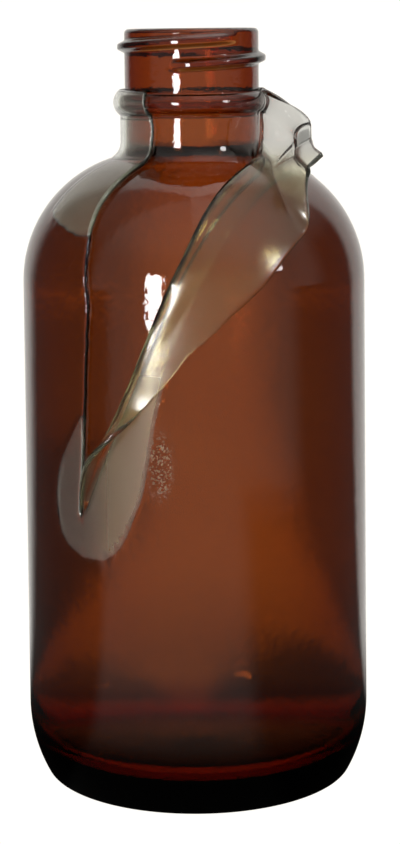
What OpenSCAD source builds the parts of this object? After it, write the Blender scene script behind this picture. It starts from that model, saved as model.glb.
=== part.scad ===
// Small Boston round bottle in amber glass, dipped in a clear safety coating that is cut and peeled open.
// Origin: centre of the base, on the bottle's axis. +Z is up, -Y is the cut front, +X is the peeled side.

/* [Bottle] */
// Overall height, from the coated base to the rim
total_h = 138.5; // [138:0.1:140]
// Radius of the glass body, without the coating
glass_r = 30.75; // [30.4:0.05:31]
// Wall of the glass body
wall = 1.95; // [1.6:0.05:2.4]
// Height at which the straight body meets the shoulder arc
shoulder_z = 92.1; // [91:0.1:93]
// Radius of the glass shoulder arc
shoulder_arc = 22.8; // [22.4:0.1:23.2]
// Height at which the straight body meets the heel curve
heel_z = 13.3; // [12:0.1:14]
// Radius of the long heel curve in the glass
heel_arc = 25.1; // [24:0.1:26]
// Radius of the bearing corner of the glass
corner_arc = 0.9; // [0.7:0.1:1.1]
// Thickness of the glass floor at its middle
floor_t = 3.6; // [3:0.1:4.4]
// Height of the push-up under the base
pushup_h = 2.3; // [1.8:0.1:2.6]
// Radius at which the push-up starts
pushup_r = 24; // [23:0.1:24.6]

/* [Neck and finish] */
// Radius of the glass neck
neck_r = 12.15; // [12:0.05:12.3]
// Concave radius between the glass neck and shoulder
neck_fillet = 4.1; // [4:0.1:4.4]
// Radius of the bore through the mouth and neck
bore_r = 10.3; // [9.8:0.05:10.5]
// Concave radius where the bore opens into the shoulder
bore_fillet = 5.5; // [5:0.1:6]
// Largest radius of the transfer bead
bead_r = 13.4; // [13.2:0.05:13.6]
// Radius of the bead's round section
bead_arc = 2.1; // [1.9:0.05:2.3]
// Height of the bead's centre
bead_z = 125; // [124.6:0.1:125.4]
// Wall radius of the screw finish, between the threads
finish_r = 12.4; // [12.35:0.05:12.6]
// Rounding of the rim
rim_round = 0.9; // [0.6:0.05:1]

/* [Thread] */
// Height of the thread above the finish wall
thread_h = 1.3; // [1.1:0.05:1.4]
// Width of the thread at its root
thread_w = 2.6; // [2.2:0.1:2.8]
// Rise of the thread in one turn
thread_pitch = 4.23; // [4.2:0.01:4.26]
// Height at which the thread starts
thread_z = 131.75; // [131.6:0.05:131.9]
// Direction in which the thread starts, from the front
thread_start = -22; // [-30:1:-10]
// How far the thread runs round the finish
thread_sweep = 425; // [400:5:430]
// Angle over which the thread rises from the wall at each end
thread_fade = 30; // [20:1:40]

/* [Coating] */
// Thickness of the clear coating
film_t = 0.9; // [0.8:0.05:1]
// Where the coating ends on the bead, above the bead's middle
film_edge = 52; // [45:1:60]
// Direction of the slit, from the front
slit_at = -38; // [-40:0.5:-36]

/* [Peeled flap] */
// Where the fold plane crosses the X axis
fold_x = -35.7; // [-36:0.1:-35.4]
// How far the fold plane moves to +X with height
fold_rise = 0.453; // [0.44:0.001:0.465]
// How far the fold plane moves to +X with depth
fold_lean = 0.453; // [0.44:0.001:0.465]
// Distance from the fold plane at which the coating leaves the glass
peel_gap = 2.8; // [2.4:0.1:3.2]
// Distance from the fold plane at which the flap starts, at the shoulder
flap_gap = 3.5; // [3:0.1:4]
// The same distance at the flap's lower end
flap_gap_low = 2.6; // [2.4:0.1:3.2]
// Least gap between the flap's back and the coating it lies on
lie_gap = 0.2; // [0.1:0.05:0.4]
// Furthest direction from the front that the flap's ear reaches
ear_at = 55; // [45:1:60]
// Direction of the torn corner of the flap, from the front
corner_at = -8; // [-12:1:-4]

/* [Hidden] */
$fn = 96;
far = 200;
coated_r = glass_r + film_t;
shoulder_x = glass_r - shoulder_arc;
heel_x = glass_r - heel_arc;
corner_z = film_t + corner_arc;
corner_reach = sqrt(pow(heel_arc - corner_arc, 2) - pow(heel_z - corner_z, 2));
corner_x = heel_x + corner_reach;
corner_end = -atan((heel_z - corner_z) / corner_reach);
neck_x = neck_r + neck_fillet;
neck_z = shoulder_z + sqrt(pow(shoulder_arc + neck_fillet, 2) - pow(neck_x - shoulder_x, 2));
neck_end = atan2(neck_z - shoulder_z, neck_x - shoulder_x);
bead_x = bead_r - bead_arc;
pushup_arc = (pow(pushup_r, 2) + pow(pushup_h, 2)) / (2 * pushup_h);
pushup_end = asin(pushup_r / pushup_arc);
inner_r = glass_r - wall;
inner_arc = inner_r - shoulder_x;
bore_x = bore_r + bore_fillet;
bore_z = shoulder_z + sqrt(pow(inner_arc + bore_fillet, 2) - pow(bore_x - shoulder_x, 2));
bore_end = atan2(bore_z - shoulder_z, bore_x - shoulder_x);
inner_heel = 7;
inner_floor_z = film_t + pushup_h + floor_t;
flap_low_z = 64;
lie_ease = 0.4;
tear_z = 115;
tear_rise = bead_z - 1 - tear_z;
neck_overlap = 8;
bead_start = -48;
fold_n = [1, -fold_lean, -fold_rise] / norm([1, -fold_lean, -fold_rise]);
fold_d = fold_x / norm([1, -fold_lean, -fold_rise]);

// Points along an arc, in the profile plane
function arc(x, z, r, from, to, steps) =
    [for (i = [0:steps]) let (a = from + (to - from) * i / steps) [x + r * cos(a), z + r * sin(a)]];

// Outside of the glass grown by t, from the middle of the base to the end of the coating on the bead
function outline(t) = concat(
    arc(0, film_t - t + pushup_h - pushup_arc, pushup_arc, 90, 90 - pushup_end, 6),
    arc(corner_x, corner_z, corner_arc + t, -90, corner_end, 5),
    arc(heel_x, heel_z, heel_arc + t, corner_end, 0, 10),
    arc(shoulder_x, shoulder_z, shoulder_arc + t, 0, neck_end, 20),
    arc(neck_x, neck_z, neck_fillet - t, 180 + neck_end, 180, 6),
    arc(bead_x, bead_z, bead_arc + t, -acos((neck_r - bead_x + t) / (bead_arc + t)), film_edge, 9));

// Rest of the glass: screw finish, rim, bore, inside of the shoulder, body and floor
function finish_and_inside() = concat(
    [[finish_r, bead_z + sqrt(pow(bead_arc, 2) - pow(finish_r - bead_x, 2))]],
    arc(finish_r - rim_round, total_h - rim_round, rim_round, 0, 90, 5),
    arc(bore_r + rim_round, total_h - rim_round, rim_round, 90, 180, 5),
    arc(bore_x, bore_z, bore_fillet, 180, 180 + bore_end, 7),
    arc(shoulder_x, shoulder_z, inner_arc, bore_end, 0, 18),
    arc(inner_r - inner_heel, inner_floor_z - 1 + inner_heel, inner_heel, 0, -90, 8),
    [[0, inner_floor_z]]);

// Mid surface of the coating: [radius, height, normal outward, normal upward] along the profile
function skin(x, z, r, from, to, steps, out) =
    [for (i = [0:steps]) let (a = from + (to - from) * i / steps)
        [x + r * cos(a), z + r * sin(a), out * cos(a), out * sin(a)]];

function skin_rows() = concat(
    [for (i = [0:8]) [glass_r + film_t / 2, flap_low_z + (shoulder_z - flap_low_z) * i / 9, 1, 0]],
    skin(shoulder_x, shoulder_z, shoulder_arc + film_t / 2, 0, neck_end, 14, 1),
    skin(neck_x, neck_z, neck_fillet - film_t / 2, 180 + neck_end - neck_overlap, 180, 4, -1),
    skin(bead_x, bead_z, bead_arc + film_t / 2, bead_start, film_edge, 6, 1));

// A point on the mid surface and its normal, a degrees from the front
function skin_point(row, a) = [row[0] * sin(a), -row[0] * cos(a), row[1]];
function skin_normal(row, a) = [row[2] * sin(a), -row[2] * cos(a), row[3]];
function mirrored(p) = p - 2 * (p * fold_n - fold_d) * fold_n;
function turned(v) = v - 2 * (v * fold_n) * fold_n;

// Direction at which a row of the coating comes within gap of the fold plane
function fold_at(row, gap) =
    let (reach = row[0] * norm([fold_n[0], fold_n[1]]))
    let (want = (fold_d - gap - fold_n[2] * row[1]) / reach)
    asin(min(1, max(-1, want))) + atan2(fold_n[1], fold_n[0]);

// Direction of the cut edge: the slit, and above the shoulder the torn corner
function edge_at(row) =
    let (share = min(1, max(0, (row[1] - tear_z) / tear_rise)))
    slit_at + (corner_at - slit_at) * share * share * (3 - 2 * share);

// Direction of the flap's folded edge
function flap_from(row) =
    let (share = min(1, (row[1] - flap_low_z) / (shoulder_z - flap_low_z)))
    min(ear_at, fold_at(row, flap_gap_low + (flap_gap - flap_gap_low) * share));

// Distance of a profile point from the coating's outside, and the direction away from it
function outside(r, z) =
    let (turn = atan2(z - shoulder_z, r - shoulder_x))
    let (over = [r - shoulder_x, z - shoulder_z])
    let (under = [neck_x - r, neck_z - z])
    z <= shoulder_z ? [r - coated_r, 1, 0]
    : turn <= neck_end ? [norm(over) - shoulder_arc - film_t, over[0] / norm(over), over[1] / norm(over)]
    : z < neck_z ? [neck_fillet - film_t - norm(under), under[0] / norm(under), under[1] / norm(under)]
    : [r - neck_r - film_t, 1, 0];

// A point moved outward until the flap's back is clear of the coating
function lifted(p) =
    let (r = norm([p[0], p[1]]))
    let (side = outside(r, p[2]))
    let (short = film_t / 2 + lie_gap - side[0])
    let (lift = (short + sqrt(short * short + lie_ease * lie_ease)) / 2)
    p + lift * [side[1] * p[0] / r, side[1] * p[1] / r, side[2]];

// A point on one face of the flap, its share of the way from the folded edge to the cut edge
function flap_point(row, share, side) =
    let (from = flap_from(row))
    let (a = from + (edge_at(row) - from) * share)
    lifted(mirrored(skin_point(row, a))) + turned(skin_normal(row, a)) * side * film_t / 2;

module glass_bottle() {
    color([0.36, 0.14, 0.05, 0.8]) {
        rotate_extrude()
            polygon(concat(outline(0), finish_and_inside()));
        thread();
    }
}

// One ridge wound round the finish, sunk a little into it and fading at both ends
module thread() {
    steps = 60;
    sunk = 0.6;
    ridge = [[-1, 0], [-0.4, 1], [0.4, 1], [1, 0]];
    sides = len(ridge);
    points = [for (i = [0:steps])
        let (a = thread_start + thread_sweep * i / steps)
        let (share = min(1, (min(i, steps - i) / steps * thread_sweep + 4) / thread_fade))
        let (z = thread_z + thread_pitch * (a - thread_start) / 360)
        for (corner = ridge)
            let (r = finish_r - sunk + (thread_h * share + sunk) * corner[1])
            [r * sin(a), -r * cos(a), z + thread_w / 2 * corner[0] * (0.5 + 0.5 * share)]];
    walls = [for (i = [0:steps - 1], j = [0:sides - 1])
        let (k = (j + 1) % sides)
        [i * sides + k, (i + 1) * sides + k, (i + 1) * sides + j, i * sides + j]];
    ends = [[for (j = [0:sides - 1]) steps * sides + j], [for (j = [sides - 1:-1:0]) j]];
    polyhedron(points, concat(walls, ends));
}

// Everything on the +X side of the fold plane, moved by shift
module beyond_fold(shift) {
    rotate([0, asin(-fold_n[2]), atan2(fold_n[1], fold_n[0])])
        translate([fold_d + shift, -far, -far])
            cube([2 * far, 2 * far, 2 * far]);
}

// Space that the peeled coating has left, between the slit and the fold
module window() {
    difference() {
        translate([-far, -far, 0])
            cube([2 * far, far, far]);
        rotate([0, 0, 90 + slit_at])
            translate([-far, 0, -far])
                cube([2 * far, 2 * far, 3 * far]);
        beyond_fold(peel_gap);
    }
}

module coating_jacket() {
    color([0.75, 0.78, 0.72, 0.5])
        difference() {
            rotate_extrude()
                polygon(concat(outline(film_t), [for (i = [len(outline(0)) - 1:-1:0]) outline(0)[i]]));
            window();
        }
}

module coating_flap() {
    least_sweep = 2;
    rows = [for (row = skin_rows()) if (flap_from(row) > edge_at(row) + least_sweep) row];
    steps = 14;
    wide = steps + 1;
    high = len(rows);
    layer = wide * high;
    points = [for (side = [1, -1], row = rows, j = [0:steps]) flap_point(row, j / steps, side)];
    faces = concat(
        [for (i = [0:high - 2], j = [0:steps - 1])
            let (k = i * wide + j)
            [k, k + 1, k + wide + 1, k + wide]],
        [for (i = [0:high - 2], j = [0:steps - 1])
            let (k = layer + i * wide + j)
            [k + wide, k + wide + 1, k + 1, k]],
        [for (i = [0:high - 2], j = [0, steps])
            let (k = i * wide + j)
            j == 0 ? [k, k + wide, k + wide + layer, k + layer] : [k + layer, k + wide + layer, k + wide, k]],
        [for (i = [0, high - 1], j = [0:steps - 1])
            let (k = i * wide + j)
            i == 0 ? [k + 1, k, k + layer, k + 1 + layer] : [k, k + 1, k + 1 + layer, k + layer]]);
    color([0.7, 0.72, 0.6, 0.6])
        polyhedron(points, [for (f = faces) each [[f[0], f[1], f[2]], [f[0], f[2], f[3]]]]);
}

glass_bottle();
coating_jacket();
coating_flap();
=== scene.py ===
# Amber Boston round bottle in a clear safety coating that is slit and peeled open.
# Lengths are millimetres in the shape code and become metres in make_mesh.
# Directions are degrees from the front (-Y) towards +X.
import math
import bpy
import numpy as np
from mathutils import Matrix, Vector, noise


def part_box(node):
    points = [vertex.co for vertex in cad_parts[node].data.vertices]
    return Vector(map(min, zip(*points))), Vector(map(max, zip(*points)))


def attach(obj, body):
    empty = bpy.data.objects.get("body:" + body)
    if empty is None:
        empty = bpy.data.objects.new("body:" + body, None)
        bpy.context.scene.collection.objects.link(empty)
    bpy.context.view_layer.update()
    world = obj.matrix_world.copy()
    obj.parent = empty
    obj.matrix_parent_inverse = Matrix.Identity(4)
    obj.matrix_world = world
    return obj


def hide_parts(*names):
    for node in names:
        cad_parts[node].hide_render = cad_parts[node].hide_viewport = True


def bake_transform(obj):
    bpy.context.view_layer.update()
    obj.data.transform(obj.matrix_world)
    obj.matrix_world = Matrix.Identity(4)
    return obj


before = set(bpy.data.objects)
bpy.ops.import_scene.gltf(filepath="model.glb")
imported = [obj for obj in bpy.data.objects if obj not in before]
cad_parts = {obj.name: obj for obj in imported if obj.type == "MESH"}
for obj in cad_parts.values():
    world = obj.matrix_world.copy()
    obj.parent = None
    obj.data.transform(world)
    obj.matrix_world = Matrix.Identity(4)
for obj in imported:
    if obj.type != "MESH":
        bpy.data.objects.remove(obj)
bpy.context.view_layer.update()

# Driving sizes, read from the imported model
GLASS_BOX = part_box("glass_bottle")
JACKET_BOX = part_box("coating_jacket")
TOTAL_H = GLASS_BOX[1].z * 1000
FILM_T = round(GLASS_BOX[0].z * 1000, 2)
COATED_R = JACKET_BOX[1].x * 1000
GLASS_R = COATED_R - FILM_T

# Glass, as in the CAD
WALL = 1.95
SHOULDER_Z, SHOULDER_ARC = 92.1, 22.8
HEEL_Z, HEEL_ARC, CORNER_ARC = 13.3, 25.1, 0.9
FLOOR_T, PUSHUP_H, PUSHUP_R = 3.6, 2.3, 24.0
NECK_R, NECK_FILLET = 12.15, 4.1
BORE_R, BORE_FILLET = 10.3, 5.5
BEAD_R, BEAD_ARC, BEAD_Z = 13.4, 2.1, 125.0
FINISH_R, RIM_ROUND = 12.4, 0.9
INNER_HEEL = 7.0
THREAD_H, THREAD_W, THREAD_PITCH = 1.3, 2.6, 4.23
THREAD_Z, THREAD_START, THREAD_SWEEP, THREAD_FADE = 131.75, -22.0, 425.0, 30.0

SHOULDER_X = GLASS_R - SHOULDER_ARC
HEEL_X = GLASS_R - HEEL_ARC
CORNER_Z = FILM_T + CORNER_ARC
CORNER_REACH = math.sqrt((HEEL_ARC - CORNER_ARC) ** 2 - (HEEL_Z - CORNER_Z) ** 2)
CORNER_X = HEEL_X + CORNER_REACH
CORNER_END = -math.degrees(math.atan((HEEL_Z - CORNER_Z) / CORNER_REACH))
NECK_X = NECK_R + NECK_FILLET
NECK_Z = SHOULDER_Z + math.sqrt((SHOULDER_ARC + NECK_FILLET) ** 2 - (NECK_X - SHOULDER_X) ** 2)
NECK_END = math.degrees(math.atan2(NECK_Z - SHOULDER_Z, NECK_X - SHOULDER_X))
BEAD_X = BEAD_R - BEAD_ARC
PUSHUP_ARC = (PUSHUP_R ** 2 + PUSHUP_H ** 2) / (2 * PUSHUP_H)
PUSHUP_END = math.degrees(math.asin(PUSHUP_R / PUSHUP_ARC))
INNER_R = GLASS_R - WALL
INNER_ARC = INNER_R - SHOULDER_X
BORE_X = BORE_R + BORE_FILLET
BORE_Z = SHOULDER_Z + math.sqrt((INNER_ARC + BORE_FILLET) ** 2 - (BORE_X - SHOULDER_X) ** 2)
BORE_END = math.degrees(math.atan2(BORE_Z - SHOULDER_Z, BORE_X - SHOULDER_X))
INNER_FLOOR_Z = FILM_T + PUSHUP_H + FLOOR_T

# Coating
FILM_EDGE = 52.0
BOND_GAP = 0.02
LIFT = 0.25

# Fold of the peeled flap: the mirror plane and how far from it the film leaves the glass
FOLD_X, FOLD_RISE, FOLD_LEAN = -35.7, 0.453, 0.453
FOLD_N = np.array([1.0, -FOLD_LEAN, -FOLD_RISE])
FOLD_D = FOLD_X / np.linalg.norm(FOLD_N)
FOLD_N = FOLD_N / np.linalg.norm(FOLD_N)
PEEL_GAP, PEEL_GAP_TIP = 3.5, 2.8
PEEL_TIP_Z, PEEL_FULL_Z = 53.7, 75.0
NECK_LEAVE = 92.0
EAR_AT, CORNER_AT = 36.0, 0.0
TEAR_Z, EAR_SAG = 115.0, 2.4
# Height of the bonded line between the loose film on the shoulder and that round the neck
NECK_LINE_Z = 114.4
NECK_BEND_Z, BEND_LOW, BEND_HIGH = 115.5, 0.31, 0.95
# Low down the film is only part open, like a door: its angle and the heights where it changes
DOOR_LOW, DOOR_HIGH, DOOR_FULL_Z, DOOR_Z = 50.0, 165.0, 62.0, 80.0
# The next three tables break the rule against numbers made by another program, and report.md says so.
# Points read off the photo by eye were turned into height and direction by a scratch program.
# Two sides of the tear-drop of loose film round the tip of the slit
DROP_RIGHT = [(45.4, -33.3), (46.2, -28.5), (48.5, -25.0), (50.5, -22.9),
              (57.3, -17.6), (63.7, -15.2), (70.4, -13.0), (80, -9.0)]
DROP_LEFT = [(45.4, -34.5), (45.8, -41.0), (46.4, -45.0), (48.6, -49.5), (52.0, -52.0), (55.5, -52.9),
             (59.0, -51.6), (62.3, -49.7), (66.0, -45.5), (72.0, -38.5), (74, -38.0)]
# The slit, from its tip to the top of the coating
SLIT = [(53.7, -40.3), (62.6, -38.9), (74, -37.8), (83, -37.0), (90.5, -35.9),
        (96.5, -37.6), (100, -38.0), (104, -39.3), (108, -39.9), (111, -38.8),
        (114.4, -36.4), (117, -35.0), (120.6, -33.2), (125, -37.5), (128, -39)]

# Zones of loose film: where they end, and over how many degrees or millimetres their edges soften
DROP_TOP_Z, DROP_SOFT = 80.0, 5.0
SHOULDER_LOW_Z, SHOULDER_EDGE_Z = 98.0, 102.3
SHOULDER_LEFT, SHOULDER_LEAN, LEAN_Z, LEAN_SPAN = -70.0, 26.0, 106.0, 4.5
NECK_LEFT, PAST_SLIT, LEFT_SOFT, SLIT_SOFT = -150.0, 4.0, 6.0, 3.0
FOLD_FAR, FOLD_STRIP, FOLD_SOFT = 100.0, 7.0, 3.0
# The film is bonded all round below this height
BONDED_BELOW_Z = 30.0
# Haze of the loose film: at a zone's edge, how fast it grows inward, and its share in each zone
HAZE_EDGE, HAZE_GROWTH = 0.3, 2.0
DROP_HAZE_TOP_Z, DROP_HAZE_LEFT, DROP_HAZE_AT, DROP_HAZE_SPAN = 82.0, 0.35, -40.0, 16.0
SHOULDER_HAZE, NECK_HAZE = 0.75, 0.3
# Patch of tiny bubbles: direction, height, and half of its width and height
BUBBLES_AT, BUBBLES_Z, BUBBLES_WIDE, BUBBLES_HIGH = -11.5, 63.0, 6.5, 9.0

# Mesh steps round the glass, round the jacket, round the flap's bend and across its lapel
GLASS_COLUMNS, JACKET_COLUMNS = 240, 260
BEND_STEPS, LAPEL_STEPS = 14, 26

# Stage, in metres: lights as place, target, width and height, and watts
WINDOW = ((-0.22, -0.45, 0.11), (0, 0, 0.10), (0.096, 0.20), 1.8)
SIDE_WINDOW = ((0.66, -0.44, 0.38), (0, 0, 0.11), (0.14, 0.24), 1.6)
STUDIO_COLOUR = (1.0, 0.97, 0.92, 1.0)
FLOOR_REACH = 3.0
BACKDROP_STRENGTH = 1.1
# Camera fitted to the photo's silhouette: place, tilt down in degrees, roll in radians, lens and shift
CAMERA_AT = (0, -0.40003, 0.139996)
CAMERA_TILT, CAMERA_ROLL = 4.5, 0.011
CAMERA_LENS, CAMERA_SHIFT = 92.27, (0.0084, -0.2746)


def cosd(a):
    return math.cos(math.radians(a))


def sind(a):
    return math.sin(math.radians(a))


def smooth(x):
    x = min(1.0, max(0.0, x))
    return x * x * (3 - 2 * x)


def arc(x, z, r, start, end, steps):
    angles = [start + (end - start) * i / steps for i in range(steps + 1)]
    return [(x + r * cosd(a), z + r * sind(a)) for a in angles]


def line(a, b, steps):
    return [(a[0] + (b[0] - a[0]) * i / steps, a[1] + (b[1] - a[1]) * i / steps)
            for i in range(steps + 1)]


def tidy(points):
    """The points without those that lie on top of the one before."""
    out = [points[0]]
    for p in points[1:]:
        if math.hypot(p[0] - out[-1][0], p[1] - out[-1][1]) > 0.02:
            out.append(p)
    return out


def outline(t):
    """Outside of the glass grown by t, from the middle of the base to the end of the coating."""
    base = arc(0, FILM_T - t + PUSHUP_H - PUSHUP_ARC, PUSHUP_ARC, 90, 90 - PUSHUP_END, 14)
    corner = arc(CORNER_X, CORNER_Z, CORNER_ARC + t, -90, CORNER_END, 8)
    heel = arc(HEEL_X, HEEL_Z, HEEL_ARC + t, CORNER_END, 0, 14)
    wall = line((GLASS_R + t, HEEL_Z), (GLASS_R + t, SHOULDER_Z), 46)
    shoulder = arc(SHOULDER_X, SHOULDER_Z, SHOULDER_ARC + t, 0, NECK_END, 30)
    fillet = arc(NECK_X, NECK_Z, NECK_FILLET - t, 180 + NECK_END, 180, 10)
    bead_low = -math.degrees(math.acos((NECK_R - BEAD_X + t) / (BEAD_ARC + t)))
    neck = line((NECK_R + t, NECK_Z), (NECK_R + t, BEAD_Z + (BEAD_ARC + t) * sind(bead_low)), 6)
    bead = arc(BEAD_X, BEAD_Z, BEAD_ARC + t, bead_low, FILM_EDGE, 12)
    return [base, corner, heel, wall, shoulder, fillet, neck, bead]


def joined(parts):
    return tidy([p for part in parts for p in part])


def make_mesh(name, points, faces, material_index=None):
    mesh = bpy.data.meshes.new(name)
    mesh.from_pydata([tuple(c * 0.001 for c in p) for p in points], [], faces)
    if material_index is not None:
        mesh.polygons.foreach_set("material_index", material_index)
    mesh.polygons.foreach_set("use_smooth", [True] * len(mesh.polygons))
    mesh.update()
    piece = bpy.data.objects.new(name, mesh)
    bpy.context.scene.collection.objects.link(piece)
    return piece


def add_values(piece, name, values):
    piece.data.attributes.new(name, "FLOAT", "POINT").data.foreach_set("value", values)


def around(r, a, z):
    return (r * sind(a), -r * cosd(a), z)


def ripple(p, size, seed):
    return noise.noise(Vector((p[0] / size + seed, p[1] / size, p[2] / size)))


# ---------------------------------------------------------------- zones of the film

def drop_zone(a, z):
    """Positive inside the tear-drop that has come off the glass round the tip of the slit."""
    left = float(np.interp(z, *zip(*DROP_LEFT)))
    right = float(np.interp(z, *zip(*DROP_RIGHT)))
    if z > DROP_TOP_Z or z < DROP_LEFT[0][0]:
        return -1.0
    return min(a - left, right - a, (z - DROP_LEFT[0][0]) * 2) / DROP_SOFT


def shoulder_zone(a, z):
    """Above 0 inside the loose film to the left of the slit, on the shoulder and round the neck."""
    if z < SHOULDER_LOW_Z:
        return -1.0
    before_slit = (slit_at(z) + PAST_SLIT - a) / SLIT_SOFT
    if z > NECK_LINE_Z:
        return min((a - NECK_LEFT) / LEFT_SOFT, before_slit, (z - NECK_LINE_Z) * 2)
    left = SHOULDER_LEFT + SHOULDER_LEAN * smooth((LEAN_Z - z) / LEAN_SPAN)
    return min((a - left) / LEFT_SOFT, before_slit, (z - SHOULDER_EDGE_Z) / 2, (NECK_LINE_Z - z) * 2)


def fold_zone(a, z):
    """Positive on the strip beside the fold, where the film starts to leave the glass."""
    if a > FOLD_FAR or z < PEEL_TIP_Z or a < slit_at(z):
        return -1.0
    p = np.array(around(outer_radius(z), a, z))
    return (FOLD_STRIP - (p @ FOLD_N - FOLD_D)) / FOLD_SOFT


def hazy(a, z):
    """Above 0 where the film has come off the glass and air shows behind it."""
    return max(-1.0, min(1.0, max(drop_zone(a, z), shoulder_zone(a, z))))


def haze_amount(a, z):
    """Haze grows inward from the edge of a loose zone. In the tear-drop it is strongest on the right."""
    inside = hazy(a, z)
    if inside <= 0:
        return 0.0
    if z < DROP_HAZE_TOP_Z:
        share = DROP_HAZE_LEFT + (1 - DROP_HAZE_LEFT) * smooth((a - DROP_HAZE_AT) / DROP_HAZE_SPAN)
    else:
        share = SHOULDER_HAZE if z < NECK_LINE_Z else NECK_HAZE
    return min(1.0, HAZE_EDGE + HAZE_GROWTH * inside) * share


def loose_field(a, z):
    """Above 0 where the film is off the glass, from haze zones and the strip beside the fold."""
    return max(hazy(a, z), max(-1.0, min(1.0, fold_zone(a, z))))


def loose(a, z):
    return max(0.0, min(1.0, 4 * loose_field(a, z)))


def outer_radius(z, t=FILM_T):
    """Radius of the glass grown by t, above the heel."""
    if z <= SHOULDER_Z:
        return GLASS_R + t
    if z <= SHOULDER_Z + (SHOULDER_ARC + t) * sind(NECK_END):
        return SHOULDER_X + math.sqrt(max(0, (SHOULDER_ARC + t) ** 2 - (z - SHOULDER_Z) ** 2))
    if z < NECK_Z:
        return NECK_X - math.sqrt(max(0, (NECK_FILLET - t) ** 2 - (NECK_Z - z) ** 2))
    d = (BEAD_ARC + t) ** 2 - (z - BEAD_Z) ** 2
    return max(NECK_R + t, BEAD_X + math.sqrt(d) if d > 0 else 0)


def slit_at(z):
    """Direction of the slit, with the small wander of a cut made by hand."""
    wander = 0.35 * noise.noise(Vector((z * 0.9, 4.0, 0)))
    tremor = 0.15 * noise.noise(Vector((z * 3, 9.0, 0)))
    return float(np.interp(z, *zip(*SLIT))) + wander + tremor


# ---------------------------------------------------------------- glass

def thread_bump(a, z):
    """How far the thread stands out from the wall of the finish."""
    best = 0.0
    for turn in (0, 360):
        along = (a - THREAD_START) % 360 + turn
        if along > THREAD_SWEEP:
            continue
        share = smooth((min(along, THREAD_SWEEP - along) + 4) / THREAD_FADE)
        middle = THREAD_Z + THREAD_PITCH * along / 360
        off = abs(z - middle) / (THREAD_W / 2)
        if off < 1:
            best = max(best, THREAD_H * share * smooth((1 - off) * 1.35))
    return best


def glass_profile():
    parts = outline(0)
    top_of_bead = BEAD_Z + math.sqrt(BEAD_ARC ** 2 - (FINISH_R - BEAD_X) ** 2)
    parts[-1] = arc(BEAD_X, BEAD_Z, BEAD_ARC, -math.degrees(math.acos((NECK_R - BEAD_X) / BEAD_ARC)),
                    math.degrees(math.acos((FINISH_R - BEAD_X) / BEAD_ARC)), 16)
    finish = line((FINISH_R, top_of_bead), (FINISH_R, TOTAL_H - RIM_ROUND), 60)
    rim = arc(FINISH_R - RIM_ROUND, TOTAL_H - RIM_ROUND, RIM_ROUND, 0, 90, 8)
    lip = arc(BORE_R + RIM_ROUND, TOTAL_H - RIM_ROUND, RIM_ROUND, 90, 180, 8)
    bore = line((BORE_R, TOTAL_H - RIM_ROUND), (BORE_R, BORE_Z), 20)
    flare = arc(BORE_X, BORE_Z, BORE_FILLET, 180, 180 + BORE_END, 10)
    shoulder = arc(SHOULDER_X, SHOULDER_Z, INNER_ARC, BORE_END, 0, 26)
    wall = line((INNER_R, SHOULDER_Z), (INNER_R, INNER_FLOOR_Z - 1 + INNER_HEEL), 40)
    heel = arc(INNER_R - INNER_HEEL, INNER_FLOOR_Z - 1 + INNER_HEEL, INNER_HEEL, 0, -90, 14)
    floor = line((INNER_R - INNER_HEEL, INNER_FLOOR_Z - 1), (0, INNER_FLOOR_Z), 8)
    outside = joined(parts + [finish, rim])
    inside = joined([lip, bore, flare, shoulder, wall, heel, floor])
    if math.hypot(outside[-1][0] - inside[0][0], outside[-1][1] - inside[0][1]) < 0.02:
        inside = inside[1:]
    return outside, inside


def make_glass():
    outside, inside = glass_profile()
    profile = outside + inside
    points, bonded = [(0, 0, profile[0][1])], [1.0]
    for i, (r, z) in enumerate(profile[1:-1], 1):
        for j in range(GLASS_COLUMNS):
            a = -180 + 360 * j / GLASS_COLUMNS
            radius = r
            film = 0.0
            if i < len(outside):
                if z > BEAD_Z + 1.0 and r <= FINISH_R + 0.01 and z < TOTAL_H - 0.5:
                    radius += thread_bump(a, z)
                radius += 0.012 * ripple(around(r, a, z), 5, 3) if r > 20 and z > 20 else 0
                film = under_film(a, z)
            else:
                p = around(r, a, z)
                amount = 0.10 if 14 < z < 112 else 0.03
                radius += amount * ripple(p, 16, 7) + 0.3 * amount * ripple(p, 5, 11)
            points.append(around(radius, a, z))
            bonded.append(film)
    points.append((0, 0, profile[-1][1]))
    bonded.append(0.0)
    faces = []
    rows = len(profile) - 2
    for j in range(GLASS_COLUMNS):
        k = (j + 1) % GLASS_COLUMNS
        faces.append((0, 1 + k, 1 + j))
        for i in range(rows - 1):
            a, b = 1 + i * GLASS_COLUMNS, 1 + (i + 1) * GLASS_COLUMNS
            faces.append((a + j, a + k, b + k, b + j))
        last = 1 + (rows - 1) * GLASS_COLUMNS
        faces.append((last + j, last + k, len(points) - 1))
    piece = make_mesh("glass", points, faces)
    add_values(piece, "bonded", bonded)
    return piece


def under_film(a, z):
    """Above 0 where bonded film covers the glass, so that light crosses without bending."""
    if z > BEAD_Z + BEAD_ARC * sind(FILM_EDGE):
        return -1.0
    if z < HEEL_Z:
        return 1.0
    return -max(loose_field(a, z), window_field(a, z))


def window_field(a, z):
    """Above 0 on the bare glass between the slit and the fold."""
    if z < PEEL_TIP_Z:
        return -1.0
    return max(-1.0, min(1.0, (a - slit_at(z)) / 3, (leave_at(z) - a) / 3))


# ---------------------------------------------------------------- coating

def ring_cut(z, r, gap):
    """Direction at which a ring of the bottle comes within gap of the fold plane."""
    reach = r * math.hypot(FOLD_N[0], FOLD_N[1])
    want = (FOLD_D - gap - FOLD_N[2] * z) / reach
    return math.degrees(math.asin(min(1, max(-1, want)))) + math.degrees(math.atan2(FOLD_N[1], FOLD_N[0]))


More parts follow.
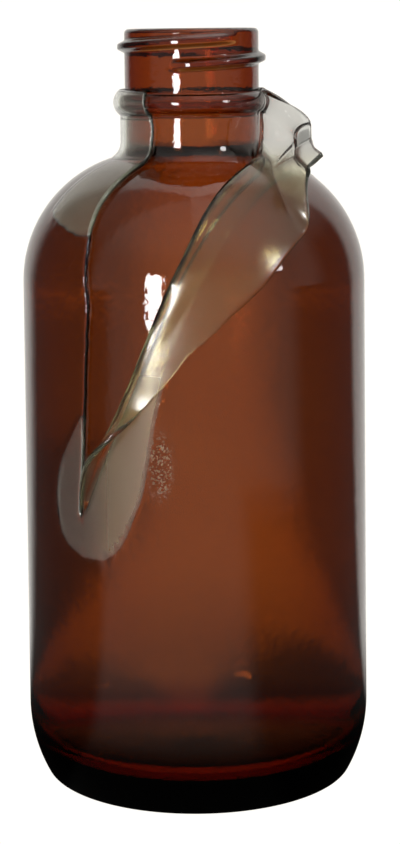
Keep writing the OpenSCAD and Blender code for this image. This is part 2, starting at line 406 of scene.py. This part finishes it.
def peel_gap(z):
    return PEEL_GAP_TIP + (PEEL_GAP - PEEL_GAP_TIP) * smooth((z - PEEL_TIP_Z) / (PEEL_FULL_Z - PEEL_TIP_Z))


def leave_at(z):
    """Direction at which the coating leaves the glass on the fold side."""
    r = outer_radius(z, FILM_T / 2)
    if z <= 112:
        return ring_cut(z, r, -peel_gap(z))
    low = ring_cut(112, outer_radius(112, FILM_T / 2), -PEEL_GAP)
    return low + (NECK_LEAVE - low) * smooth((z - 112) / 7.0) ** 0.8


def film_grid():
    """Pairs of profile points on the inner and outer face of the film, from the base up."""
    rows = []
    for part_in, part_out in zip(outline(BOND_GAP), outline(FILM_T)):
        for p, q in zip(part_in, part_out):
            if not rows or math.dist(p, rows[-1][0]) >= 0.02 or math.dist(q, rows[-1][1]) >= 0.02:
                rows.append((p, q))
    return rows


def make_jacket():
    rows = film_grid()
    first_open = next(i for i, (p, q) in enumerate(rows) if (p[1] + q[1]) / 2 > PEEL_TIP_Z)
    points, off, haze, bubbles = [], [], [], []
    index = {}
    for side in (0, 1):
        for i, row in enumerate(rows):
            if i == 0:
                index[side, 0, 0] = len(points)
                points.append((0, 0, row[side][1]))
                off.append(-1.0)
                haze.append(0.0)
                bubbles.append(0.0)
                continue
            z = (row[0][1] + row[1][1]) / 2
            start = leave_at(max(z, PEEL_TIP_Z)) if i >= first_open else slit_at(PEEL_TIP_Z)
            end = 360 + (slit_at(z) if i >= first_open else slit_at(PEEL_TIP_Z))
            for j in range(JACKET_COLUMNS + 1):
                if i < first_open and j == JACKET_COLUMNS:
                    index[side, i, j] = index[side, i, 0]
                    continue
                a = start + (end - start) * j / JACKET_COLUMNS
                turn = a if a < 180 else a - 360
                may_lift = z > BONDED_BELOW_Z
                lift = LIFT * loose(turn, z) if may_lift else 0.0
                index[side, i, j] = len(points)
                points.append(around(row[side][0] + lift, a, row[side][1]))
                off.append(loose_field(turn, z) if may_lift else -1.0)
                haze.append(haze_amount(turn, z) if may_lift else 0.0)
                away = math.hypot((turn - BUBBLES_AT) / BUBBLES_WIDE, (z - BUBBLES_Z) / BUBBLES_HIGH)
                bubbles.append(smooth(1.6 - 1.6 * away))
    faces, mats = [], []

    def add(face, m):
        if len(set(face)) >= 3:
            clean = []
            for v in face:
                if v not in clean:
                    clean.append(v)
            faces.append(tuple(clean))
            mats.append(m)

    last = len(rows) - 1
    for i in range(1, last):
        for j in range(JACKET_COLUMNS):
            add((index[1, i, j], index[1, i, j + 1], index[1, i + 1, j + 1], index[1, i + 1, j]), 0)
            add((index[0, i + 1, j], index[0, i + 1, j + 1], index[0, i, j + 1], index[0, i, j]), 1)
    for j in range(JACKET_COLUMNS):
        add((index[1, 0, 0], index[1, 1, j + 1], index[1, 1, j]), 0)
        add((index[0, 0, 0], index[0, 1, j], index[0, 1, j + 1]), 1)
        add((index[0, last, j], index[1, last, j], index[1, last, j + 1], index[0, last, j + 1]), 2)
    for i in range(first_open - 1, last):
        add((index[0, i, 0], index[1, i, 0], index[1, i + 1, 0], index[0, i + 1, 0]), 1)
        end = JACKET_COLUMNS
        add((index[1, i, end], index[0, i, end], index[0, i + 1, end], index[1, i + 1, end]), 2)
    piece = make_mesh("jacket_film", points, faces, mats)
    add_values(piece, "off", off)
    add_values(piece, "bubbles", bubbles)
    add_values(piece, "haze", haze)
    return piece


def mirrored(p):
    return p - 2 * (p @ FOLD_N - FOLD_D) * FOLD_N


def outside(r, z):
    """Distance of a profile point from the coating's outside, and the direction away from it."""
    turn = math.degrees(math.atan2(z - SHOULDER_Z, r - SHOULDER_X))
    if z <= SHOULDER_Z:
        return r - COATED_R, 1.0, 0.0
    if turn <= NECK_END:
        d = math.hypot(r - SHOULDER_X, z - SHOULDER_Z)
        return d - SHOULDER_ARC - FILM_T, (r - SHOULDER_X) / d, (z - SHOULDER_Z) / d
    if z < NECK_Z:
        d = math.hypot(NECK_X - r, NECK_Z - z)
        return NECK_FILLET - FILM_T - d, (NECK_X - r) / d, (NECK_Z - z) / d
    return r - NECK_R - FILM_T, 1.0, 0.0


def lifted(p, amount, settle=0.0):
    """Keeps a point of the flap off the coating below, and lets it settle part of the way down."""
    r = math.hypot(p[0], p[1])
    d, nr, nz = outside(r, p[2])
    short = FILM_T / 2 + 0.1 - d
    lift = amount * (short + math.sqrt(short * short + 0.1)) / 2
    lift -= settle * max(0.0, d + lift - 0.6)
    return p + lift * np.array([nr * p[0] / r, nr * p[1] / r, nz])


def droop(p):
    """The ear sags a little between the bead and its torn corner."""
    sag = EAR_SAG * smooth((p[0] - 12.5) / 5) * smooth((24 - p[0]) / 4) * smooth((p[2] - 112) / 8)
    return p - np.array([0, 0, sag])


def flap_edge(z):
    """Direction of the flap's free edge: the slit, and above the shoulder the torn corner."""
    share = smooth((z - TEAR_Z) / (BEAD_Z - 1 - TEAR_Z))
    return slit_at(z) + (CORNER_AT - slit_at(z)) * share


def door_line(r, z, counts):
    """The film low down, where it stands out from the glass like a door that is part open."""
    a0 = leave_at(z)
    p0 = np.array(around(r, a0, z))
    along = -np.array([cosd(a0), sind(a0), 0.0])
    out = np.array([sind(a0), -cosd(a0), 0.0])
    length = max(0.3, (a0 - flap_edge(z)) * r * math.pi / 180)
    turn = math.radians(DOOR_LOW + (DOOR_HIGH - DOOR_LOW) * smooth((z - PEEL_TIP_Z) / (DOOR_Z - PEEL_TIP_Z)))
    bend = min(0.7 * length, 1.5 * turn)
    points = []
    for i in range(sum(counts) + 1):
        s = bend * i / counts[0] if i <= counts[0] else bend + (length - bend) * (i - counts[0]) / counts[1]
        if s <= bend:
            angle, radius = turn * s / bend, bend / turn
            x, y = radius * math.sin(angle), radius * (1 - math.cos(angle))
        else:
            radius = bend / turn
            x = radius * math.sin(turn) + (s - bend) * math.cos(turn)
            y = radius * (1 - math.cos(turn)) + (s - bend) * math.sin(turn)
        points.append(p0 + along * x + out * y)
    return points


def flap_line(r, z):
    """Mid line of the peeled film at one height: round the bend, then back over the jacket."""
    a0 = leave_at(z)
    p0 = np.array(around(r, a0, z))
    t0 = -np.array([cosd(a0), sind(a0), 0.0])
    b = min(EAR_AT, ring_cut(z, r, peel_gap(z)))
    pb = np.array(around(r, b, z))
    p3 = mirrored(pb)
    tb = np.array([cosd(b), sind(b), 0.0])
    t3 = tb - 2 * (tb @ FOLD_N) * FOLD_N
    neck_share = smooth((z - NECK_BEND_Z) / 5)
    leg = abs(a0 - b) / 2 * r * math.pi / 180
    span = float(np.linalg.norm(p3 - p0))
    full = BEND_LOW + (BEND_HIGH - BEND_LOW) * smooth((z - 98) / 15)
    h = full * leg * (1 - neck_share) + 0.36 * span * neck_share
    p1, p2 = p0 + h * t0, p3 + h * t3
    edge = flap_edge(z)
    reach = max(0.02, (a0 - edge) / (a0 - b)) if edge > b else 1.0
    points = []
    for i in range(BEND_STEPS + 1):
        t = reach * i / BEND_STEPS
        q = (1 - t) ** 3 * p0 + 3 * t * (1 - t) ** 2 * p1 + 3 * t * t * (1 - t) * p2 + t ** 3 * p3
        points.append(lifted(q, smooth((t - 0.15) / 0.5)))
    for i in range(1, LAPEL_STEPS + 1):
        if edge > b:
            tip = points[BEND_STEPS]
            points.append(tip + (tip - points[BEND_STEPS - 1]) * 0.002 * i)
            continue
        a = b + (edge - b) * i / LAPEL_STEPS
        settle = 0.75 * smooth(i / 10) * smooth((117 - z) / 5)
        points.append(droop(lifted(mirrored(np.array(around(r, a, z))), 1.0, settle)))
    share = smooth((z - DOOR_FULL_Z) / (DOOR_Z - DOOR_FULL_Z))
    if share < 1:
        door = door_line(r, z, (BEND_STEPS, LAPEL_STEPS))
        points = [d * (1 - share) + q * share for d, q in zip(door, points)]
    return points


def make_flap():
    rows = []
    for p, q in film_grid():
        z = (p[1] + q[1]) / 2
        if z > PEEL_TIP_Z and p[0] > NECK_R - 1:
            rows.append(((p[0] + q[0]) / 2, z, q[0] - p[0], q[1] - p[1]))
    grid = np.array([flap_line(r, z) for r, z, _, _ in rows])
    along = np.gradient(grid, axis=1)
    up = np.gradient(grid, axis=0)
    normal = np.cross(along, up)
    normal /= np.maximum(np.linalg.norm(normal, axis=2, keepdims=True), 1e-9)
    for i, (r, z, dr, dz) in enumerate(rows):
        a = leave_at(z)
        own = np.array([dr * sind(a), -dr * cosd(a), dz])
        own /= np.linalg.norm(own)
        if normal[i, 2] @ own < 0:
            normal[i] = -normal[i]
        for j in range(4):
            w = 1 - j / 4
            mix = own * w + normal[i, j] * (1 - w)
            normal[i, j] = mix / np.linalg.norm(mix)
    t = FILM_T / 2
    high, wide = grid.shape[:2]
    points = np.concatenate([(grid + normal * t).reshape(-1, 3), (grid - normal * t).reshape(-1, 3)])
    n = high * wide
    faces, mats = [], []
    for i in range(high - 1):
        for j in range(wide - 1):
            k = i * wide + j
            faces.append((k, k + wide, k + wide + 1, k + 1))
            faces.append((n + k, n + k + 1, n + k + wide + 1, n + k + wide))
            mats += [0, 0]
        k = i * wide
        faces.append((k, n + k, n + k + wide, k + wide))
        mats.append(1)
        k = i * wide + wide - 1
        faces.append((k, k + wide, n + k + wide, n + k))
        mats.append(2)
    for j in range(wide - 1):
        faces.append((j, j + 1, n + j + 1, n + j))
        k = (high - 1) * wide + j
        faces.append((k, n + k, n + k + 1, k + 1))
        mats += [2, 2]
    piece = make_mesh("peeled_flap", points.tolist(), faces, mats)
    lapel = np.tile(np.clip((np.arange(wide) - 8) / 10, 0, 1), 2 * high)
    add_values(piece, "lapel", lapel.tolist())
    return piece


# ---------------------------------------------------------------- materials

def new_material(name):
    m = bpy.data.materials.new(name)
    m.use_nodes = True
    return m, m.node_tree, m.node_tree.nodes["Principled BSDF"]


def add_grain(tree, scale):
    coords = tree.nodes.new("ShaderNodeTexCoord")
    grain = tree.nodes.new("ShaderNodeTexNoise")
    grain.inputs["Scale"].default_value = scale
    grain.inputs["Detail"].default_value = 2.0
    tree.links.new(coords.outputs["Object"], grain.inputs["Vector"])
    return grain.outputs["Fac"]


def add_bump(tree, shader, scale, strength, distance):
    bump = tree.nodes.new("ShaderNodeBump")
    bump.inputs["Strength"].default_value = strength
    bump.inputs["Distance"].default_value = distance
    tree.links.new(add_grain(tree, scale), bump.inputs["Height"])
    tree.links.new(bump.outputs["Normal"], shader.inputs["Normal"])


def from_attribute(tree, name, low, high, out_low, out_high):
    """A value that goes from out_low to out_high as the named attribute goes from low to high."""
    field = tree.nodes.new("ShaderNodeAttribute")
    field.attribute_name = name
    return step_between(tree, field.outputs["Fac"], low, high, out_low, out_high)


def amber_glass():
    m, tree, shader = new_material("amber_glass")
    shader.inputs["Base Color"].default_value = (1, 1, 1, 1)
    shader.inputs["Roughness"].default_value = 0.0
    shader.inputs["Transmission Weight"].default_value = 1.0
    tree.links.new(from_attribute(tree, "bonded", -0.03, 0.03, 1.5, 1.0), shader.inputs["IOR"])
    add_bump(tree, shader, 800, 0.14, 0.0003)
    soak = tree.nodes.new("ShaderNodeVolumeAbsorption")
    soak.inputs["Color"].default_value = (0.758, 0.465, 0.08, 1)
    soak.inputs["Density"].default_value = 1400
    tree.links.new(soak.outputs["Volume"], tree.nodes["Material Output"].inputs["Volume"])
    return m


def tinted(tree, shader, share, colour_a, colour_b):
    tint = tree.nodes.new("ShaderNodeMix")
    tint.data_type = "RGBA"
    tint.inputs[6].default_value = colour_a
    tint.inputs[7].default_value = colour_b
    tree.links.new(share, tint.inputs[0])
    tree.links.new(tint.outputs[2], shader.inputs["Base Color"])


def film_back():
    """Inner face of the jacket: no edge to the light where it is bonded, milky where it is off,
    and specked with tiny bubbles in one patch beside the tear-drop."""
    m, tree, shader = new_material("film_back")
    haze = from_attribute(tree, "haze", 0.0, 1.0, 0.0, 1.0)
    dots = step_between(tree, add_grain(tree, 2400), 0.53, 0.58, 0.0, 1.0)
    specks = product(tree, dots, from_attribute(tree, "bubbles", 0.0, 1.0, 0.0, 1.0))
    milk = calc(tree, "MAXIMUM", haze, specks)
    off = calc(tree, "MAXIMUM", from_attribute(tree, "off", -0.03, 0.03, 0.0, 1.0), specks)
    ior = calc(tree, "MULTIPLY_ADD", off, 0.5)
    ior.node.inputs[2].default_value = 1.0
    tree.links.new(ior, shader.inputs["IOR"])
    tree.links.new(calc(tree, "MULTIPLY", milk, 0.30), shader.inputs["Roughness"])
    tree.links.new(calc(tree, "SUBTRACT", 1.0, calc(tree, "MULTIPLY", milk, 0.15)),
                   shader.inputs["Transmission Weight"])
    tinted(tree, shader, milk, (1, 1, 1, 1), (0.86, 0.75, 0.46, 1))
    return m


def flap_film():
    """Peeled film: glassy round the bend, a little hazy and yellow where it lies over the amber."""
    m, tree, shader = new_material("peeled_film")
    shader.inputs["Transmission Weight"].default_value = 1.0
    shader.inputs["IOR"].default_value = 1.5
    lapel = from_attribute(tree, "lapel", 0.0, 1.0, 0.0, 1.0)
    rough = calc(tree, "MULTIPLY_ADD", lapel, 0.17)
    rough.node.inputs[2].default_value = 0.03
    tree.links.new(rough, shader.inputs["Roughness"])
    place = tree.nodes.new("ShaderNodeTexCoord")
    split = tree.nodes.new("ShaderNodeSeparateXYZ")
    tree.links.new(place.outputs["Object"], split.inputs[0])
    tinted(tree, shader, step_between(tree, split.outputs["Z"], 0.110, 0.118, 1.0, 0.0),
           (0.87, 0.88, 0.85, 1), (0.90, 0.85, 0.56, 1))
    add_bump(tree, shader, 170, 0.10, 0.0006)
    return m


def clear_film(name, ior, colour, roughness, bump=0.0):
    m, tree, shader = new_material(name)
    shader.inputs["Base Color"].default_value = colour
    shader.inputs["Roughness"].default_value = roughness
    shader.inputs["Transmission Weight"].default_value = 1.0
    shader.inputs["IOR"].default_value = ior
    if bump:
        add_bump(tree, shader, 170, bump, 0.0006)
    return m


def step_between(tree, value, low, high, out_low, out_high):
    """A soft step from out_low to out_high as value goes from low to high."""
    span = tree.nodes.new("ShaderNodeMapRange")
    span.interpolation_type = "SMOOTHSTEP"
    span.inputs["From Min"].default_value = low
    span.inputs["From Max"].default_value = high
    span.inputs["To Min"].default_value = out_low
    span.inputs["To Max"].default_value = out_high
    tree.links.new(value, span.inputs["Value"])
    return span.outputs["Result"]


def calc(tree, kind, a, b):
    node = tree.nodes.new("ShaderNodeMath")
    node.operation = kind
    for socket, value in zip(node.inputs, (a, b)):
        if isinstance(value, (int, float)):
            socket.default_value = value
        else:
            tree.links.new(value, socket)
    return node.outputs[0]


def product(tree, *factors):
    out = factors[0]
    for factor in factors[1:]:
        out = calc(tree, "MULTIPLY", out, factor)
    return out


def total(tree, *parts):
    out = parts[0]
    for part in parts[1:]:
        out = calc(tree, "ADD", out, part)
    return out


def glossy_light(tree, bearing, reach, height):
    """What light that glances off the bottle sees: a pale sweep behind, a room in front, dark sides, and on
    the floor a painted shade that goes nearly black round the bottle's base.
    """
    sweep = product(tree, step_between(tree, bearing, -0.92, -0.58, 0.0, 1.0),
                    step_between(tree, bearing, 0.80, 0.98, 1.0, 0.0))
    if height is None:
        room_left = step_between(tree, bearing, -2.2, -2.02, 1.0, 0.0)
        far_right = product(tree, step_between(tree, bearing, 1.80, 2.10, 0.0, 1.0),
                            step_between(tree, reach, 0.24, 0.34, 0.0, 1.0))
        room_right = calc(tree, "MAXIMUM", step_between(tree, bearing, 2.45, 2.75, 0.0, 1.0), far_right)
    else:
        room_left = step_between(tree, bearing, -1.95, -1.75, 1.0, 0.0)
        room_right = step_between(tree, bearing, 1.35, 1.75, 0.0, 1.0)
    room = total(tree, room_left, room_right)
    gloss = total(tree, product(tree, sweep, 0.8), product(tree, room, 0.32), 0.09)
    if height is None:
        # Painted shade on the floor: its glow drops nearly to black near the bottle.
        return product(tree, gloss, step_between(tree, reach, 0.035, 0.12, 0.03, 1.0))
    sky = step_between(tree, bearing, -0.4, 0.6, 0.22, 0.6)
    return total(tree, gloss, product(tree, step_between(tree, height, 0.3, 0.8, 0.0, 1.0), sky))


def transmitted_light(tree, bearing, reach, height):
    """What light that comes through the bottle sees: on the floor a painted lit patch behind, which falls off
    to both sides and near the bottle, with a painted glow right under the bottle, and round about a glow that
    fades upward."""
    if height is not None:
        return step_between(tree, height, 0.05, 0.5, 0.78, 0.25)
    left = calc(tree, "MAXIMUM", step_between(tree, bearing, -0.12, -0.04, 0.45, 1.0),
                step_between(tree, bearing, -2.2, -1.0, 1.0, 0.0))
    right = calc(tree, "MAXIMUM", step_between(tree, bearing, 0.0, 0.11, 1.0, 0.42),
                 step_between(tree, bearing, 1.0, 2.2, 0.0, 1.0))
    patch = calc(tree, "MAXIMUM", product(tree, left, right), step_between(tree, reach, 0.35, 0.95, 0.0, 1.0))
    low_right = calc(tree, "MAXIMUM", step_between(tree, bearing, 0.01, 0.06, 1.0, 0.55),
                     step_between(tree, bearing, 1.0, 2.2, 0.0, 1.0))
    low_right = calc(tree, "MAXIMUM", low_right, step_between(tree, reach, 0.22, 0.34, 0.0, 1.0))
    # Painted shade dims the lit patch near the bottle, and a painted glow lies right under it.
    patch = product(tree, patch, low_right, step_between(tree, reach, 0.04, 0.18, 0.5, 1.0), 0.78)
    return total(tree, patch, step_between(tree, reach, 0.030, 0.045, 0.8, 0.0))


def studio_strength(tree, x, y, height):
    """Brightness of the studio at x, y on the floor, where height is None, or in the direction
    x, y, height for the world. It is white to the camera, and uneven to light from the bottle."""
    bearing = calc(tree, "ARCTAN2", x, y)
    reach = calc(tree, "SQRT", total(tree, product(tree, x, x), product(tree, y, y)), 0.0)
    path = tree.nodes.new("ShaderNodeLightPath")
    pick = tree.nodes.new("ShaderNodeMix")
    tree.links.new(path.outputs["Is Transmission Ray"], pick.inputs["Factor"])
    tree.links.new(glossy_light(tree, bearing, reach, height), pick.inputs["A"])
    tree.links.new(transmitted_light(tree, bearing, reach, height), pick.inputs["B"])
    seen = tree.nodes.new("ShaderNodeMix")
    tree.links.new(path.outputs["Is Camera Ray"], seen.inputs["Factor"])
    tree.links.new(pick.outputs["Result"], seen.inputs["A"])
    seen.inputs["B"].default_value = BACKDROP_STRENGTH
    return seen.outputs["Result"]


# ---------------------------------------------------------------- stage, light and camera

def make_floor():
    mesh = bpy.data.meshes.new("floor")
    corners = [(x * FLOOR_REACH, y * FLOOR_REACH, 0) for x, y in ((-1, -1), (1, -1), (1, 1), (-1, 1))]
    mesh.from_pydata(corners, [], [(0, 1, 2, 3)])
    floor = bpy.data.objects.new("floor", mesh)
    bpy.context.scene.collection.objects.link(floor)
    # The floor glows though it is no lamp: evenly white to the camera, and to other rays painted studio light
    # with a painted shade round the bottle.
    m, tree, shader = new_material("glowing_floor")
    tree.nodes.remove(shader)
    glow = tree.nodes.new("ShaderNodeEmission")
    glow.inputs["Color"].default_value = STUDIO_COLOUR
    place = tree.nodes.new("ShaderNodeNewGeometry")
    split = tree.nodes.new("ShaderNodeSeparateXYZ")
    tree.links.new(place.outputs["Position"], split.inputs[0])
    strength = studio_strength(tree, split.outputs["X"], split.outputs["Y"], None)
    tree.links.new(strength, glow.inputs["Strength"])
    tree.links.new(glow.outputs[0], tree.nodes["Material Output"].inputs["Surface"])
    floor.data.materials.append(m)


def make_world():
    world = bpy.data.worlds.new("studio")
    bpy.context.scene.world = world
    world.use_nodes = True
    tree = world.node_tree
    back = tree.nodes["Background"]
    back.inputs["Color"].default_value = STUDIO_COLOUR
    coords = tree.nodes.new("ShaderNodeTexCoord")
    split = tree.nodes.new("ShaderNodeSeparateXYZ")
    tree.links.new(coords.outputs["Generated"], split.inputs[0])
    strength = studio_strength(tree, split.outputs["X"], split.outputs["Y"], split.outputs["Z"])
    tree.links.new(strength, back.inputs["Strength"])


def add_softbox(name, place, target, size, power):
    light = bpy.data.lights.new(name, "AREA")
    light.shape = "RECTANGLE"
    light.size, light.size_y = size
    light.energy = power
    lamp = bpy.data.objects.new(name, light)
    lamp.visible_camera = False
    lamp.location = place
    lamp.rotation_euler = (Vector(target) - Vector(place)).to_track_quat("-Z", "Y").to_euler()
    bpy.context.scene.collection.objects.link(lamp)


def make_camera():
    camera = bpy.data.cameras.new("camera")
    camera.lens, camera.sensor_width, camera.sensor_fit = CAMERA_LENS, 36, "AUTO"
    camera.shift_x, camera.shift_y = CAMERA_SHIFT
    holder = bpy.data.objects.new("camera", camera)
    tilt = Matrix.Rotation(math.pi / 2 - math.radians(CAMERA_TILT), 4, "X")
    roll = Matrix.Rotation(-CAMERA_ROLL, 4, "Z")
    holder.matrix_world = Matrix.Translation(CAMERA_AT) @ (tilt @ roll)
    bpy.context.scene.collection.objects.link(holder)
    bpy.context.scene.camera = holder


bpy.context.scene.view_settings.view_transform = "Standard"
make_camera()
make_world()
make_floor()
add_softbox("window", *WINDOW)
add_softbox("side_window", *SIDE_WINDOW)

glass = make_glass()
glass.data.materials.append(amber_glass())
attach(glass, "bottle")
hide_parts("glass_bottle")

film = clear_film("clear_film", 1.5, (0.88, 0.90, 0.85, 1), 0.03, 0.06)
stuck = clear_film("bonded_film", 1.0, (1, 1, 1, 1), 0.0)
cut = clear_film("cut_film", 1.5, (0.50, 0.60, 0.45, 1), 0.12)
back = film_back()
peeled = flap_film()

jacket = make_jacket()
flap = make_flap()
for piece, node, body in ((jacket, "coating_jacket", "bottle"), (flap, "coating_flap", None)):
    for m in (film, back, cut) if piece == jacket else (peeled, stuck, cut):
        piece.data.materials.append(m)
    if body:
        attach(piece, body)
    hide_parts(node)
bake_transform(flap)
